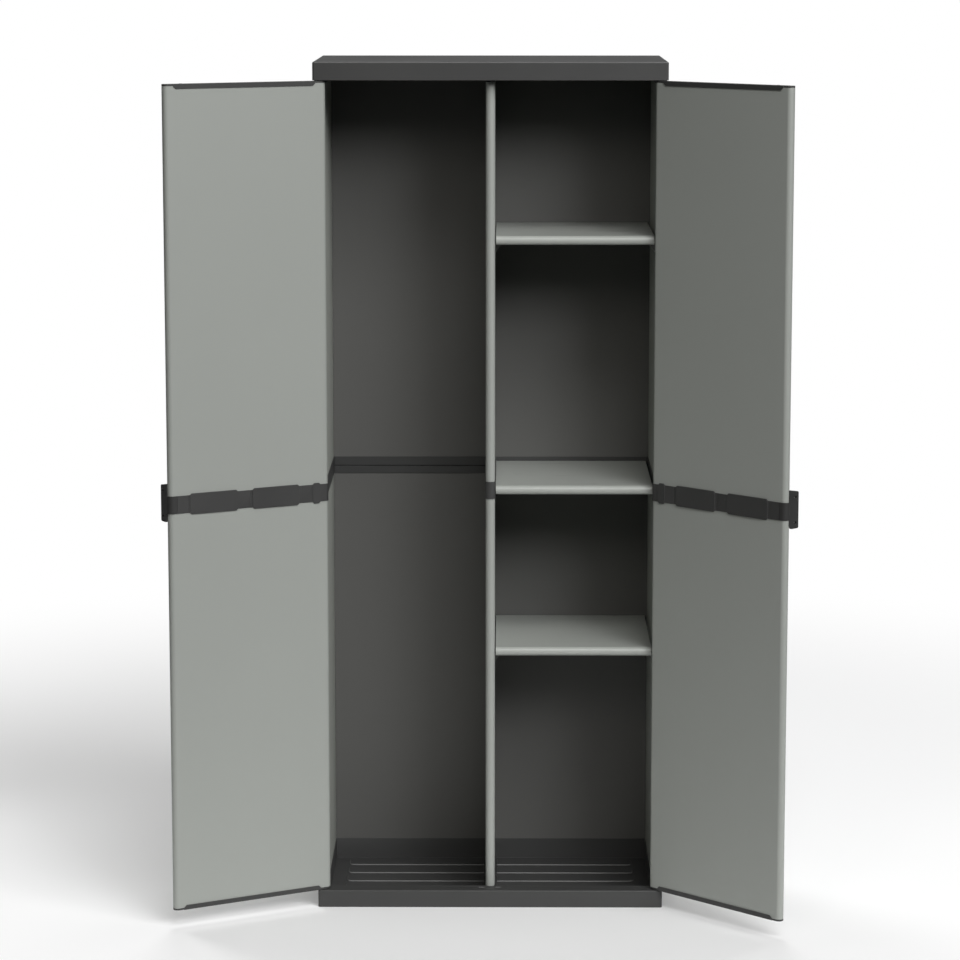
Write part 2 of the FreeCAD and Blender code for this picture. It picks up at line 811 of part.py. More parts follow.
def makeDoorBand(name, k):
    # the H section that joins the two door boards, with its raised pads and seams
    body = newBody(name)
    fit = dim["slideFit"]
    stop = doorFree - dim["clipLength"] - dim["clipGap"]
    outer = newSketch(body, "Outer", "XY_Plane", jointLow)
    doorBar(outer, k, doorHinge - proud, stop, doorHalf + proud, True, False)
    pad(body, outer, dim["jointHeight"])
    cutSlots(body, lambda sketch: doorBar(sketch, k, doorHinge - fit, stop + dim["overcut"],
                                          doorHalf + fit, True, False))
    web = newSketch(body, "WebNose", "XY_Plane", webLow)
    doorBar(web, k, stop - dim["clipLength"], doorFree, doorHalf, False, True)
    pad(body, web, dim["jointWeb"])

    low = jointMiddle - dim["bandPadHeight"] / 2
    high = jointMiddle + dim["bandPadHeight"] / 2
    cut = dim["padChamfer"]
    pads = [(dim["bumpStart"], dim["bumpLength"]), (dim["hingePadStart"], dim["hingePadLength"]),
            (dim["freePadStart"], dim["freePadLength"])]
    for face, inward in ((1, True), (-1, False)):
        sketch = newSketch(body, "Pads", "XZ_Plane", -(doorHalf + fit) * face)
        for start, length in pads:
            end = start + length
            polygon(sketch, [((start + cut) * k, low), ((end - cut) * k, low), (end * k, low + cut),
                             (end * k, high - cut), ((end - cut) * k, high), ((start + cut) * k, high),
                             (start * k, high - cut), (start * k, low + cut)])
        pad(body, sketch, dim["flangeThick"] + dim["padProud"], down=inward)
        seams = newSketch(body, "Seams", "XZ_Plane", -(doorHalf + proud) * face)
        for place in (dim["hingeSeam"], dim["middleSeam"], dim["freeSeam"]):
            rectangle(seams, place * k, jointLow, (place + dim["seamWide"]) * k, jointHigh)
        pocket(body, seams, dim["seamDeep"], up=inward)
    return hangDoor(body, k)


def makeLockClip(name, k):
    # the clip that wraps the door's free edge and carries the padlock plate
    body = newBody(name)
    fit = dim["slideFit"]
    start = doorFree - dim["clipLength"]
    free = doorFree + proud
    wrap = newSketch(body, "Wrap", "XY_Plane", jointLow)
    doorBar(wrap, k, start, free, doorHalf + proud, False, True)
    pad(body, wrap, dim["jointHeight"])

    high = jointMiddle + dim["haspHeight"] / 2 + dim["haspLift"]
    low = high - dim["haspHeight"]
    tip = -(doorHalf + dim["haspProud"])
    root = -dim["haspRoot"]
    small = dim["haspTopCut"]
    big = dim["haspLowCut"]
    plate = newSketch(body, "Plate", "YZ_Plane", free * k)
    polygon(plate, [(root, high + dim["haspRise"]), (tip + small, high), (tip, high - small),
                    (tip, low + small), (tip + small, low), (root - big, low), (root, low + big)])
    pad(body, plate, dim["haspThick"], down=k > 0)

    over = dim["overcut"]
    room = newSketch(body, "BoardRoom", "XY_Plane", low - over)
    doorBar(room, k, start - over, doorFree + fit, doorHalf + fit, False, True)
    pocket(body, room, dim["haspHeight"] + dim["haspRise"] + over * 2, up=True)

    holes = newSketch(body, "Holes", "YZ_Plane", free * k)
    across = tip + dim["haspHoleSetback"]
    circle(holes, across, high - dim["haspHoleInset"], dim["haspHole"])
    circle(holes, across, low + dim["haspHoleInset"], dim["haspHole"])
    pocket(body, holes, dim["haspThick"] + over, up=k < 0)
    return hangDoor(body, k)


# The cabinet

topUnder = dim["topShelfHeight"]
bottomUnder = dim["bottomShelfHeight"]

pieces = [makeBase(), makeCap()]
pieces.append(makeSideBoard("left_side_lower", -1, rim))
pieces.append(makeSideBoard("left_side_upper", -1, webHigh))
pieces.append(makeSideBoard("right_side_lower", 1, rim, bottomUnder))
pieces.append(makeSideBoard("right_side_upper", 1, webHigh, topUnder))
pieces.append(makeSideJoint("left_side_joint", -1))
pieces.append(makeSideJoint("right_side_joint", 1, ledges=True))
pieces.append(makeBackBoard("back_lower", rim))
pieces.append(makeBackBoard("back_upper", webHigh))
pieces.append(makeBackJoint())
pieces.append(makeDivider("divider_lower", rim, dim["boardLength"], bottomUnder))
pieces.append(makeDivider("divider_upper", webHigh, dim["boardLength"] - dim["dividerDrop"], topUnder))
pieces.append(makeDividerJoint())
pieces.append(makeShelf("top_shelf", topUnder))
pieces.append(makeShelf("middle_shelf", middleUnder))
pieces.append(makeShelf("bottom_shelf", bottomUnder))
pieces.append(makeBrackets("top_shelf_brackets", topUnder))
pieces.append(makeBrackets("bottom_shelf_brackets", bottomUnder))
for sideName, k in (("left", 1), ("right", -1)):
    door = sideName + "_door_"
    pieces.append(makeDoorBoard(door + "lower_board", k, doorLow + dim["endLip"], webLow))
    pieces.append(makeDoorBoard(door + "upper_board", k, webHigh, doorHigh - dim["endLip"]))
    pieces.append(makeDoorBand(door + "band", k))
    pieces.append(makeLockClip(door + "lock_clip", k))
    pieces.append(makeDoorEnd(door + "bottom_end", k, False))
    pieces.append(makeDoorEnd(door + "top_end", k, True))

doc.recompute()
for item in doc.Objects:
    if "Invalid" in item.State or "Error" in item.State:
        raise RuntimeError("%s is in state %s" % (item.Label, item.State))
for piece in pieces:
    if piece.Shape.isNull() or not piece.Shape.isValid():
        raise RuntimeError("%s has no valid solid" % piece.Label)

os.makedirs("parts", exist_ok=True)
for piece in pieces:
    piece.Shape.exportStep("parts/%s.step" % piece.Label)
    print(piece.Label, len(piece.Shape.Solids), "solid", round(piece.Shape.Volume / 1000), "cm3")
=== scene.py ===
import json
import math
import bmesh
import bpy
from mathutils import Matrix, Vector

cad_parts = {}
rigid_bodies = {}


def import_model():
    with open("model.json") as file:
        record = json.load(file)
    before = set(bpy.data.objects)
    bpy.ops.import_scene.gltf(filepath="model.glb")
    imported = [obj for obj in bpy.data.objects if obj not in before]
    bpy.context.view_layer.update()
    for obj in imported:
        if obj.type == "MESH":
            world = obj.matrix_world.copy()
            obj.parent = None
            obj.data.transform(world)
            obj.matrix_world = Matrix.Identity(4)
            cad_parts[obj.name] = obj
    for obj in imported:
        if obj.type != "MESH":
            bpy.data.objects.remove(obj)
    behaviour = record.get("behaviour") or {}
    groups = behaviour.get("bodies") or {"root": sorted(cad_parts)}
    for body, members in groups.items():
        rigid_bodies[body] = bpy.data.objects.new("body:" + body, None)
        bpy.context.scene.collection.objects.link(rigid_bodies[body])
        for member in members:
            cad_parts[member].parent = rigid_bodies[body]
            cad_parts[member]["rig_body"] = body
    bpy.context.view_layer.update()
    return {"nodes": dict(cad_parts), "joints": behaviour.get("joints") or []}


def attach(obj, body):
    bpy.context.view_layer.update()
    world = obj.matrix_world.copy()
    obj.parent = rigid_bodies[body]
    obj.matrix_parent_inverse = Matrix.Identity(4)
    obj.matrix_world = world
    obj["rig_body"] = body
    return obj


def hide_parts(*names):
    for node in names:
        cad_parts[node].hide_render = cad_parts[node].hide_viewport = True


# Garden storage cabinet with its doors open: hollow grey boards held by dark moulded parts.
# Metres, +Z up, front is -Y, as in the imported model.

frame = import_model()
nodes = frame["nodes"]
doorJoints = {joint["child"]: joint for joint in frame["joints"]}
unturned = Matrix.Identity(4)
mm = 0.001


# Places

def doorPlace(body):
    # from the door's own frame, closed with its pin at the origin, to where it hangs open
    joint = doorJoints[body]
    opened = -math.radians(joint["range_deg"][0])
    return Matrix.Translation(joint["pos_m"]) @ Matrix.Rotation(opened, 4, Vector(joint["axis"]))


def nodeCorners(node, place):
    # lowest and highest corner of a node, in the frame that place leads out of
    back = place.inverted()
    points = [back @ vertex.co for vertex in nodes[node].data.vertices]
    low = Vector([min(point[axis] for point in points) for axis in range(3)])
    high = Vector([max(point[axis] for point in points) for axis in range(3)])
    return low, high


# Shared effects, each a node group that is built once

def newGroup(name, inputs, outputs):
    group = bpy.data.node_groups.new(name, "ShaderNodeTree")
    for label, kind, value in inputs:
        socket = group.interface.new_socket(name=label, in_out="INPUT", socket_type=kind)
        socket.default_value = value
    for label, kind in outputs:
        group.interface.new_socket(name=label, in_out="OUTPUT", socket_type=kind)
    return group, group.nodes.new("NodeGroupInput"), group.nodes.new("NodeGroupOutput")


def addNode(tree, kind, links=None, **settings):
    # a new node: settings are its fields, and links give each input a value or another's output
    node = tree.nodes.new(kind)
    for field, value in settings.items():
        setattr(node, field, value)
    for socket, source in (links or {}).items():
        if isinstance(source, bpy.types.NodeSocket):
            tree.links.new(source, node.inputs[socket])
        else:
            node.inputs[socket].default_value = source
    return node


def addNoise(tree, vector, scale, noise):
    return addNode(tree, "ShaderNodeTexNoise", {
        "Vector": vector, "Scale": scale, "Detail": noise["detail"],
        "Roughness": noise["roughness"]}).outputs["Fac"]


grainEffect = {
    "fine": {"detail": 3.0, "roughness": 0.6},
    "clouds": {"scale": 5.0, "detail": 4.0, "roughness": 0.55},
    "sheenFrom": 0.3,
    "sheenTo": 0.7,
}


def makeMouldedGrain():
    # the fine pebbled skin that a spark-eroded mould leaves, and slow changes of sheen over it
    group, given, out = newGroup("mouldedGrain", [
        ("Vector", "NodeSocketVector", (0, 0, 0)),
        ("Grain Size", "NodeSocketFloat", 0.8 * mm),
    ], [("Height", "NodeSocketFloat"), ("Sheen", "NodeSocketFloat")])
    spot = given.outputs["Vector"]
    scale = addNode(group, "ShaderNodeMath", {0: 1.0, 1: given.outputs["Grain Size"]},
                    operation="DIVIDE")
    pebbles = addNode(group, "ShaderNodeTexVoronoi", {
        "Vector": spot, "Scale": scale.outputs[0], "Randomness": 1.0,
    }, feature="SMOOTH_F1", distance="EUCLIDEAN")
    fine = addNoise(group, spot, scale.outputs[0], grainEffect["fine"])
    height = addNode(group, "ShaderNodeMath", {0: pebbles.outputs["Distance"], 1: fine},
                     operation="ADD")
    clouds = addNoise(group, spot, grainEffect["clouds"]["scale"], grainEffect["clouds"])
    sheen = addNode(group, "ShaderNodeMapRange", {
        "Value": clouds, "From Min": grainEffect["sheenFrom"], "From Max": grainEffect["sheenTo"],
        "To Min": 0.0, "To Max": 1.0})
    group.links.new(height.outputs[0], out.inputs["Height"])
    group.links.new(sheen.outputs[0], out.inputs["Sheen"])
    return group


drawnEffect = {
    "lines": {"detail": 4.0, "roughness": 0.7},
    "waves": {"scale": 9.0, "detail": 2.0, "roughness": 0.5},
}


def makeDrawnLines():
    # faint lines that an extruder's die draws along a board; Stretch is small along the board
    group, given, out = newGroup("drawnLines", [
        ("Vector", "NodeSocketVector", (0, 0, 0)),
        ("Stretch", "NodeSocketVector", (1.0, 1.0, 0.02)),
        ("Line Scale", "NodeSocketFloat", 160.0),
    ], [("Lines", "NodeSocketFloat"), ("Waves", "NodeSocketFloat")])
    drawn = addNode(group, "ShaderNodeVectorMath", {
        0: given.outputs["Vector"], 1: given.outputs["Stretch"]}, operation="MULTIPLY")
    lines = addNoise(group, drawn.outputs[0], given.outputs["Line Scale"], drawnEffect["lines"])
    waves = addNoise(group, drawn.outputs[0], drawnEffect["waves"]["scale"], drawnEffect["waves"])
    group.links.new(lines, out.inputs["Lines"])
    group.links.new(waves, out.inputs["Waves"])
    return group


paintedHighlightEffect = {"level": 0.99, "leaning": 0.9}  # upward part of the normal


def makePaintedHighlightBand():
    # 1 on what leans away from level inside a box, where a painted highlight lightens the edges
    group, given, out = newGroup("paintedHighlightBand", [
        ("Vector", "NodeSocketVector", (0, 0, 0)),
        ("Middle", "NodeSocketVector", (0, 0, 0)),
        ("Half", "NodeSocketVector", (1, 1, 1)),
    ], [("Mask", "NodeSocketFloat")])
    offset = addNode(group, "ShaderNodeVectorMath", {
        0: given.outputs["Vector"], 1: given.outputs["Middle"]}, operation="SUBTRACT")
    apart = addNode(group, "ShaderNodeVectorMath", {0: offset.outputs[0]}, operation="ABSOLUTE")
    excess = addNode(group, "ShaderNodeVectorMath", {0: apart.outputs[0], 1: given.outputs["Half"]},
                     operation="SUBTRACT")
    past = addNode(group, "ShaderNodeSeparateXYZ", {0: excess.outputs[0]})
    widest = addNode(group, "ShaderNodeMath", {0: past.outputs["X"], 1: past.outputs["Y"]},
                     operation="MAXIMUM")
    furthest = addNode(group, "ShaderNodeMath", {0: widest.outputs[0], 1: past.outputs["Z"]},
                       operation="MAXIMUM")
    inside = addNode(group, "ShaderNodeMath", {0: furthest.outputs[0], 1: 0.0},
                     operation="LESS_THAN")
    normal = addNode(group, "ShaderNodeNewGeometry")
    rise = addNode(group, "ShaderNodeSeparateXYZ", {0: normal.outputs["Normal"]})
    leaning = addNode(group, "ShaderNodeMapRange", {
        "Value": rise.outputs["Z"], "From Min": paintedHighlightEffect["level"],
        "From Max": paintedHighlightEffect["leaning"], "To Min": 0.0, "To Max": 1.0})
    mask = addNode(group, "ShaderNodeMath", {0: inside.outputs[0], 1: leaning.outputs[0]},
                   operation="MULTIPLY")
    group.links.new(mask.outputs[0], out.inputs["Mask"])
    return group


rubbedAndHighlitEffect = {
    "samples": 4,
    "flat": 0.995,  # how far the eased normal agrees with the true one
    "edge": 0.8,
    "breaks": {"detail": 3.0, "roughness": 0.6},
    "breakFrom": 0.35,
    "breakTo": 0.6,
    "least": 0.25,
}


def makeRubbedAndHighlitEdge():
    # 1 along the outer edges, broken up by a noise; paled there partly as wear from handling that
    # polishes the plastic and partly as painted highlight
    group, given, out = newGroup("rubbedAndHighlitEdge", [
        ("Vector", "NodeSocketVector", (0, 0, 0)),
        ("Width", "NodeSocketFloat", 0.001),
        ("Break", "NodeSocketFloat", 60.0),
    ], [("Mask", "NodeSocketFloat")])
    eased = addNode(group, "ShaderNodeBevel", {"Radius": given.outputs["Width"]},
                    samples=rubbedAndHighlitEffect["samples"])
    true = addNode(group, "ShaderNodeNewGeometry")
    facing = addNode(group, "ShaderNodeVectorMath", {
        0: eased.outputs[0], 1: true.outputs["Normal"]}, operation="DOT_PRODUCT")
    edge = addNode(group, "ShaderNodeMapRange", {
        "Value": facing.outputs["Value"], "From Min": rubbedAndHighlitEffect["flat"],
        "From Max": rubbedAndHighlitEffect["edge"], "To Min": 0.0, "To Max": 1.0})
    breaks = addNoise(group, given.outputs["Vector"], given.outputs["Break"],
                      rubbedAndHighlitEffect["breaks"])
    patches = addNode(group, "ShaderNodeMapRange", {
        "Value": breaks, "From Min": rubbedAndHighlitEffect["breakFrom"], "From Max": rubbedAndHighlitEffect["breakTo"],
        "To Min": rubbedAndHighlitEffect["least"], "To Max": 1.0})
    mask = addNode(group, "ShaderNodeMath", {0: edge.outputs[0], 1: patches.outputs[0]},
                   operation="MULTIPLY")
    group.links.new(mask.outputs[0], out.inputs["Mask"])
    return group


mouldedGrain = makeMouldedGrain()
drawnLines = makeDrawnLines()
rubbedAndHighlitEdge = makeRubbedAndHighlitEdge()
paintedHighlightBand = makePaintedHighlightBand()
print("effects made")


# Finishes

def addEffect(tree, effect, links):
    return addNode(tree, "ShaderNodeGroup", links, node_tree=effect)


def newMaterial(name):
    material = bpy.data.materials.new(name)
    material.use_nodes = True
    tree = material.node_tree
    tree.nodes.clear()
    shader = tree.nodes.new("ShaderNodeBsdfPrincipled")
    output = tree.nodes.new("ShaderNodeOutputMaterial")
    tree.links.new(shader.outputs[0], output.inputs["Surface"])
    return material, tree, shader


def mixColour(tree, factor, first, second):
    # sockets 6 and 7 are the two colours, and output 2 is their mix
    mix = addNode(tree, "ShaderNodeMix", data_type="RGBA")
    for socket, source in ((mix.inputs["Factor"], factor), (mix.inputs[6], first),
                           (mix.inputs[7], second)):
        if isinstance(source, bpy.types.NodeSocket):
            tree.links.new(source, socket)
        else:
            socket.default_value = source
    return mix.outputs[2]


def shade(colour, factor):
    return (colour[0] * factor, colour[1] * factor, colour[2] * factor, 1.0)


def addRoughness(tree, shader, value, low, high, looks):
    # value from low to high swings the roughness about its middle
    rough = addNode(tree, "ShaderNodeMapRange", {
        "Value": value, "From Min": low, "From Max": high,
        "To Min": looks["roughness"] - looks["sheenChange"],
        "To Max": looks["roughness"] + looks["sheenChange"]})
    tree.links.new(rough.outputs[0], shader.inputs["Roughness"])


def addRelief(tree, shader, height, looks):
    bump = addNode(tree, "ShaderNodeBump", {
        "Strength": looks["bump"], "Distance": looks["grainDepth"], "Height": height})
    tree.links.new(bump.outputs[0], shader.inputs["Normal"])


def mouldedPlastic(name, looks):
    # dark injection-moulded polypropylene: pebbled skin, cloudy sheen, paler edges that are partly
    # rubbed wear and partly painted highlight, and painted highlight bands
    material, tree, shader = newMaterial(name)
    spot = addNode(tree, "ShaderNodeTexCoord").outputs["Object"]
    grain = addEffect(tree, mouldedGrain, {"Vector": spot, "Grain Size": looks["grainSize"]})
    rubbedAndHighlit = addEffect(tree, rubbedAndHighlitEdge, {"Vector": spot, "Width": looks["edgeWidth"]})
    base = mixColour(tree, grain.outputs["Sheen"], shade(looks["colour"], 1.0 - looks["clouding"]),
                     shade(looks["colour"], 1.0 + looks["clouding"]))
    # paler edges: partly rubbed wear, partly painted highlight
    paling = addNode(tree, "ShaderNodeMath", {0: rubbedAndHighlit.outputs["Mask"], 1: looks["edgePaling"]},
                     operation="MULTIPLY")
    colour = mixColour(tree, paling.outputs[0], base, shade(looks["edgeColour"], 1.0))
    # painted highlights: paler bands on chosen edges, in place of lit edges
    for part in looks.get("paintedHighlightBands", ()):
        band = addEffect(tree, paintedHighlightBand, {
            "Vector": spot, "Middle": part["middle"], "Half": part["half"]})
        colour = mixColour(tree, band.outputs["Mask"], colour, shade(part["colour"], 1.0))
    tree.links.new(colour, shader.inputs["Base Color"])
    addRoughness(tree, shader, grain.outputs["Sheen"], 0.0, 1.0, looks)
    addRelief(tree, shader, grain.outputs["Height"], looks)
    shader.inputs["Specular IOR Level"].default_value = looks["specular"]
    return material


def boardPlastic(name, looks, stretch):
    # extruded board: smooth, with faint drawn lines along it and a slow drift of tone
    material, tree, shader = newMaterial(name)
    spot = addNode(tree, "ShaderNodeTexCoord").outputs["Object"]
    drawn = addEffect(tree, drawnLines, {
        "Vector": spot, "Stretch": stretch, "Line Scale": looks["lineScale"]})
    grain = addEffect(tree, mouldedGrain, {"Vector": spot, "Grain Size": looks["grainSize"]})
    tone = addNode(tree, "ShaderNodeMath", {0: drawn.outputs["Waves"], 1: grain.outputs["Sheen"]},
                   operation="MULTIPLY")
    colour = mixColour(tree, tone.outputs[0], shade(looks["colour"], 1.0 - looks["drift"]),
                       shade(looks["colour"], 1.0 + looks["drift"]))
    tree.links.new(colour, shader.inputs["Base Color"])
    addRoughness(tree, shader, drawn.outputs["Lines"], looks["lineLow"], looks["lineHigh"], looks)
    height = addNode(tree, "ShaderNodeMath", {
        0: drawn.outputs["Lines"], 1: looks["lineHeight"], 2: grain.outputs["Height"],
    }, operation="MULTIPLY_ADD")
    addRelief(tree, shader, height.outputs[0], looks)
    shader.inputs["Specular IOR Level"].default_value = looks["specular"]
    return material


mouldedLooks = {
    "colour": (0.049, 0.0493, 0.0485),
    # the paler edge colour: partly rubbed wear, partly painted highlight
    "edgeColour": (0.16, 0.16, 0.16),
    "edgePaling": 0.5,
    "edgeWidth": 0.8 * mm,
    "clouding": 0.06,
    "grainSize": 0.8 * mm,
    "grainDepth": 0.05 * mm,
    "bump": 0.35,
    "roughness": 0.52,
    "sheenChange": 0.04,
    "specular": 0.5,
}
boardLooks = {
    "colour": (0.338, 0.353, 0.33),
    "drift": 0.012,
    "lineScale": 160.0,
    "lineHeight": 0.6,
    "lineLow": 0.3,
    "lineHigh": 0.7,
    "grainSize": 1.1 * mm,
    "grainDepth": 0.02 * mm,
    "bump": 0.2,
    "roughness": 0.5,
    "sheenChange": 0.03,
    "specular": 0.5,
}
# the side, divider and shelf greys are the board grey scaled per part to how bright each looks
# under these lamps; the divider's and shelves' lighter greys are painted light
sideLooks = dict(boardLooks, colour=(0.343, 0.357, 0.327))
backLooks = dict(boardLooks, colour=(0.121, 0.12, 0.114))
dividerLooks = dict(boardLooks, colour=(0.355, 0.37, 0.348))
shelfLooks = dict(boardLooks, colour=(0.418, 0.435, 0.407), roughness=0.3)
# painted highlights: pale bands on the tray's pad edges and catch walls and on the cap's top
# chamfer
padEdgeHighlight = {
    "middle": (0.0, 5.0 * mm, 4.15 * mm),
    "half": (300.0 * mm, 155.0 * mm, 1.05 * mm),
    "colour": (0.16, 0.16, 0.158),
}
catchWallHighlight = {
    "middle": (0.0, -168.5 * mm, 33.7 * mm),
    "half": (23.0 * mm, 3.0 * mm, 1.0 * mm),
    "colour": (0.14, 0.14, 0.138),
}
chamferHighlight = {
    "middle": (0.0, 0.0, 1660.85 * mm),
    "half": (350.0 * mm, 200.0 * mm, 0.75 * mm),
    "colour": (0.115, 0.115, 0.114),
}
trayLooks = dict(mouldedLooks, paintedHighlightBands=(padEdgeHighlight, catchWallHighlight))
capLooks = dict(mouldedLooks, paintedHighlightBands=(chamferHighlight,))
# the back joint's gap: a near-black painted shade
paintedGapShadeLooks = dict(mouldedLooks, colour=(0.005, 0.005, 0.005), edgePaling=0.0, specular=0.1)
fittingLooks = dict(mouldedLooks, colour=(0.0415, 0.0415, 0.0408))
plateLooks = dict(mouldedLooks, colour=(0.029, 0.029, 0.0285))
# brackets: a grey about four times as light as the other mouldings, painted light that makes them
# show in the shelf's shadow
bracketPaintedLightLooks = dict(mouldedLooks, colour=(0.19, 0.191, 0.187))
upright = (1.0, 1.0, 0.02)  # lines run up the board
acrossX = (0.02, 1.0, 1.0)  # lines run from side to side

finishes = {
    "moulded_frame": mouldedPlastic("darkMoulding", mouldedLooks),
    "door_board": boardPlastic("doorBoard", boardLooks, upright),
    "divider_board": boardPlastic("dividerBoard", dividerLooks, upright),
    "side_board": boardPlastic("sideBoard", sideLooks, upright),
    "back_board": boardPlastic("backBoard", backLooks, upright),
    "shelf_board": boardPlastic("shelfBoard", shelfLooks, acrossX),
}
mouldedFinishes = {
    "fitting": mouldedPlastic("doorFitting", fittingLooks),
    "plate": mouldedPlastic("lockPlate", plateLooks),
    "bracket": mouldedPlastic("shelfBracketPaintedLight", bracketPaintedLightLooks),
    "tray": mouldedPlastic("trayMoulding", trayLooks),
    "cap": mouldedPlastic("capMoulding", capLooks),
    "gap": mouldedPlastic("jointGapPaintedShade", paintedGapShadeLooks),
}
print("finishes made:", len(finishes) + len(mouldedFinishes))


# Pieces

slantedRise = (0.4, 0.9)  # upward part of the normal of a chamfer's face


def within(point, span):
    return all(low <= point[axis] <= high for axis, (low, high) in span.items())


def easedWidth(edge, easing):
    # an edge that lies in one of the softer zones gets that zone's width
    low, high = slantedRise
    slanted = any(low < abs(face.normal.z) < high for face in edge.link_faces)
    for zone in easing.get("softer", ()):
        inside = all(within(vertex.co, zone["span"]) for vertex in edge.verts)
        if inside and (slanted or not zone["slantedOnly"]):
            return zone["width"]
    return easing["least"]


def finishPiece(name, bm, node, easing, finish):
    # turns the mesh into an object that stands for its node, with eased edges and smooth shading
    sharp = math.radians(easing["sharpAngle"])
    weight = bm.edges.layers.float.new("bevel_weight_edge")
    for edge in bm.edges:
        if len(edge.link_faces) == 2 and edge.calc_face_angle() > sharp:
            edge[weight] = easedWidth(edge, easing) / easing["width"]
    mesh = bpy.data.meshes.new(name)
    bm.to_mesh(mesh)
    bm.free()
    mesh.shade_smooth()
    mesh.set_sharp_from_angle(angle=sharp)
    piece = bpy.data.objects.new(name, mesh)
    bpy.context.scene.collection.objects.link(piece)
    mesh.materials.append(finish)
    bevel = piece.modifiers.new("easedEdges", "BEVEL")
    bevel.width = easing["width"]
    bevel.segments = easing["segments"]
    bevel.limit_method = "WEIGHT"
    bevel.use_clamp_overlap = False
    bevel.harden_normals = True
    bevel.miter_outer = "MITER_ARC"
    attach(piece, nodes[node]["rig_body"])
    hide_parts(node)
    return piece


boardEasing = {"width": 0.35 * mm, "least": 0.35 * mm, "segments": 2, "sharpAngle": 35}
boardGroups = {  # along: from front edge to rear edge; run: along the hollow cells
    "side": {"nodes": ["left_side_lower", "left_side_upper",
                       "right_side_lower", "right_side_upper"],
             "slot": "side_board", "along": 1, "run": 2, "noses": ("front",)},
    "back": {"nodes": ["back_lower", "back_upper"],
             "slot": "back_board", "along": 0, "run": 2, "noses": ()},
    "divider": {"nodes": ["divider_lower", "divider_upper"],
                "slot": "divider_board", "along": 1, "run": 2, "noses": ("front",)},
    "shelf": {"nodes": ["top_shelf", "middle_shelf", "bottom_shelf"],
              "slot": "shelf_board", "along": 1, "run": 0, "noses": ("front",)},
    "door": {"nodes": ["left_door_lower_board", "left_door_upper_board",
                       "right_door_lower_board", "right_door_upper_board"],
             "slot": "door_board", "along": 0, "run": 2, "noses": ("front", "rear")},
}
noseSteps = 10  # facets in a quarter of a board's round nose
boardMerge = 0.02 * mm


def makeBoard(node, group):
    # a block with its noses rounded over the full thickness of the board
    body = nodes[node]["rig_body"]
    place = doorPlace(body) if body in doorJoints else unturned
    low, high = nodeCorners(node, place)
    along = group["along"]
    run = group["run"]
    thick = 3 - along - run
    bm = bmesh.new()
    bmesh.ops.create_cube(bm, size=1.0)
    bmesh.ops.scale(bm, vec=high - low, verts=bm.verts)
    bmesh.ops.translate(bm, vec=(low + high) / 2, verts=bm.verts)
    half = (high[thick] - low[thick]) / 2
    for nose in group["noses"]:
        end = low[along] if nose == "front" else high[along]
        corners = []
        for edge in bm.edges:
            first, second = edge.verts
            running = abs(first.co[run] - second.co[run]) > half
            atEnd = all(abs(vertex.co[along] - end) < half for vertex in edge.verts)
            if running and atEnd:
                corners.append(edge)
        bmesh.ops.bevel(bm, geom=corners, offset=half, offset_type="OFFSET", segments=noseSteps,
                        profile=0.5, affect="EDGES", clamp_overlap=True, material=-1)
        bmesh.ops.remove_doubles(bm, verts=bm.verts, dist=boardMerge)
    bmesh.ops.transform(bm, matrix=place, verts=bm.verts)
    bmesh.ops.recalc_face_normals(bm, faces=bm.faces)
    finishPiece("board_" + node, bm, node, boardEasing, finishes[group["slot"]])


for group in boardGroups.values():
    for node in group["nodes"]:
        makeBoard(node, group)
print("boards made")

plainEasing = {"width": 0.3 * mm, "least": 0.3 * mm, "segments": 2, "sharpAngle": 30}
trayEasing = {
    "width": 1.8 * mm,
    "least": 0.35 * mm,
    "segments": 4,
    "sharpAngle": 30,
    "softer": (  # floor pads, front rim and foot
        {"span": {2: (4.9 * mm, 5.1 * mm)}, "width": 1.8 * mm, "slantedOnly": False},
        {"span": {2: (32.5 * mm, 34.6 * mm)}, "width": 1.0 * mm, "slantedOnly": True},
        {"span": {2: (-0.1 * mm, 2.0 * mm)}, "width": 0.6 * mm, "slantedOnly": True},
    ),
}
capEasing = {
    "width": 1.0 * mm,
    "least": 0.35 * mm,
    "segments": 4,
    "sharpAngle": 30,
    "softer": (  # the chamfer round the top
        {"span": {2: (1659.5 * mm, 1661.6 * mm)}, "width": 1.0 * mm, "slantedOnly": True},
    ),
}
padEnds = {
    "span": {2: (2.7 * mm, 5.1 * mm)},
    "from": 269.3 * mm,
    "radius": 22.0 * mm,
    "squareness": 0.45,
    "slack": 0.1 * mm,
    "firstPad": 131.0 * mm,
    "pitch": 62.0 * mm,
    "count": 4,
}
groove = {
    "span": {1: (169.9 * mm, 171.2 * mm), 2: (827.6 * mm, 830.2 * mm)},
    "floorFrom": 170.3 * mm,
    "deeper": (0.0, 0.8 * mm, 0.0),
}
mouldings = {
    "base_tray": {"finish": mouldedFinishes["tray"], "easing": trayEasing},
    "top_cap": {"finish": mouldedFinishes["cap"], "easing": capEasing},
    "left_side_joint": {},
    "right_side_joint": {},
    "back_joint": {},
    "divider_joint": {},
    "top_shelf_brackets": {"finish": mouldedFinishes["bracket"]},
    "bottom_shelf_brackets": {"finish": mouldedFinishes["bracket"]},
}
for side in ("left", "right"):
    for part in ("band", "bottom_end", "top_end"):
        mouldings["%s_door_%s" % (side, part)] = {"finish": mouldedFinishes["fitting"]}
    mouldings["%s_door_lock_clip" % side] = {"finish": mouldedFinishes["plate"]}
mouldingMerge = 0.005 * mm
flatAngle = 1.0  # degrees


